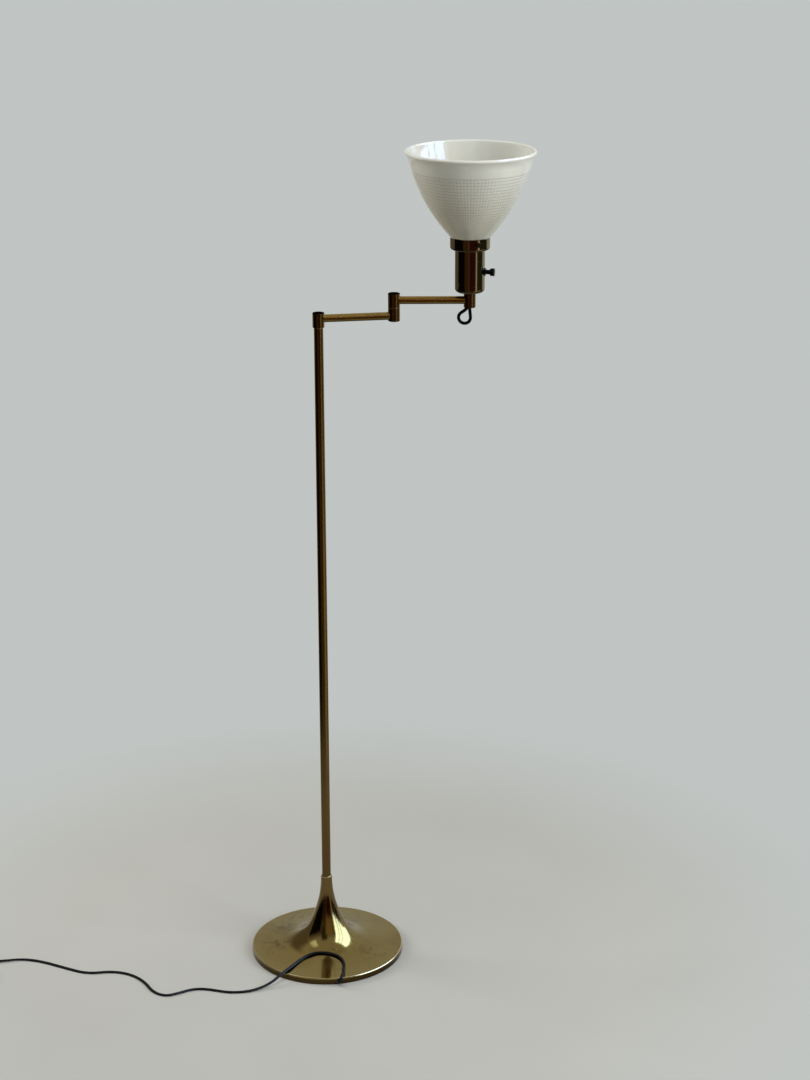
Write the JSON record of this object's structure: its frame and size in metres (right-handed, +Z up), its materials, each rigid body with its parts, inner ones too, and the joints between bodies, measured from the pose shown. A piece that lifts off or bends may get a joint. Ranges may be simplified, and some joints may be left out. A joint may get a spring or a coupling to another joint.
{
  "type": "bridge floor lamp",
  "caption": "Brass swing-arm floor lamp: trumpet base, slim pole, jointed arms, switched lampholder and an upward-facing milk-glass reflector, with its black cord laid out.",
  "frame": {"origin": "middle of the base's underside, on the floor, on the pole's axis", "axes": "+Z up along the pole, +X along the lower arm from the pole to the elbow as it stands at rest"},
  "size_m": [1.0327, 0.2674, 1.3536],
  "materials": {
    "base_brass": "polished, lightly stained olive-gold brass",
    "pole_brass": "polished brass with a warm dark patina",
    "arm_brass": "satin olive-gold brass",
    "cup_brass": "very glossy dark plated brass",
    "inner_brass": "bare turned brass",
    "steel": "zinc-plated steel",
    "cast_iron": "rough black casting",
    "felt": "dark green felt",
    "milk_glass": "glossy opaque white milk glass",
    "bulb_glass": "frosted white",
    "black_plastic": "glossy black moulding",
    "phenolic": "dark brown moulding",
    "liner_board": "waxed brown fibre",
    "cord_black": "matte black flat twin cord"
  },
  "bodies": {
    "stand": {"base_shell": "base_brass", "base_weight": "cast_iron", "base_felt": "felt", "tie_pipe": "steel", "tie_washer": "steel", "tie_nut": "steel", "pole_foot": "inner_brass", "neck_ring": "base_brass", "cord_grommet": "black_plastic", "pole": "pole_brass", "pole_spindle": "pole_brass", "pole_seam_washer": "inner_brass", "cord_inner": "cord_black", "cord_lead": "cord_black", "cord_coil": "cord_black", "plug_body": "black_plastic", "plug_blades": "inner_brass"},
    "lower_swing": {"pole_pivot_washer": "steel", "pole_pivot_nut": "steel", "pole_knuckle": "pole_brass", "pole_knuckle_cap": "pole_brass", "lower_arm": "arm_brass", "lower_arm_wire": "cord_black", "elbow_lower_knuckle": "pole_brass", "elbow_lower_cap": "pole_brass", "elbow_pivot": "inner_brass", "elbow_seam_washer": "inner_brass", "elbow_lower_nut": "steel", "elbow_pivot_washer": "steel", "elbow_upper_nut": "steel"},
    "upper_swing": {"elbow_upper_knuckle": "pole_brass", "elbow_upper_cap": "pole_brass", "upper_arm": "arm_brass", "upper_arm_wire": "cord_black", "end_knuckle": "pole_brass", "nipple": "steel", "cup_washer": "pole_brass", "cup_nut": "steel", "socket_cup": "cup_brass", "insulating_liner": "liner_board", "socket_body": "phenolic", "screw_shell": "inner_brass", "centre_contact": "inner_brass", "switch_bushing": "inner_brass", "shade_holder": "cup_brass", "ring_nut": "phenolic", "glass_reflector": "milk_glass", "bulb_cap": "inner_brass", "bulb_glass": "bulb_glass", "cord_loop": "cord_black", "shade_screw_1": "cup_brass", "shade_screw_2": "cup_brass"},
    "knob": {"switch_knob": "black_plastic", "switch_shaft": "steel"}
  },
  "joints": [
    {"name": "lower_arm_swing", "type": "hinge", "parent": "stand", "child": "lower_swing", "pos_m": [0, 0, 1.0953], "axis": [0, 0, 1], "range_deg": [-170, 170]},
    {"name": "upper_arm_swing", "type": "hinge", "parent": "lower_swing", "child": "upper_swing", "pos_m": [0.1186, 0, 1.12], "axis": [0, 0, 1], "range_deg": [-141, 158]},
    {"name": "switch_knob_turn", "type": "hinge", "parent": "upper_swing", "child": "knob", "pos_m": [0.23508, -0.01761, 1.1655], "axis": [0.9298, -0.3681, 0], "continuous": true}
  ]
}
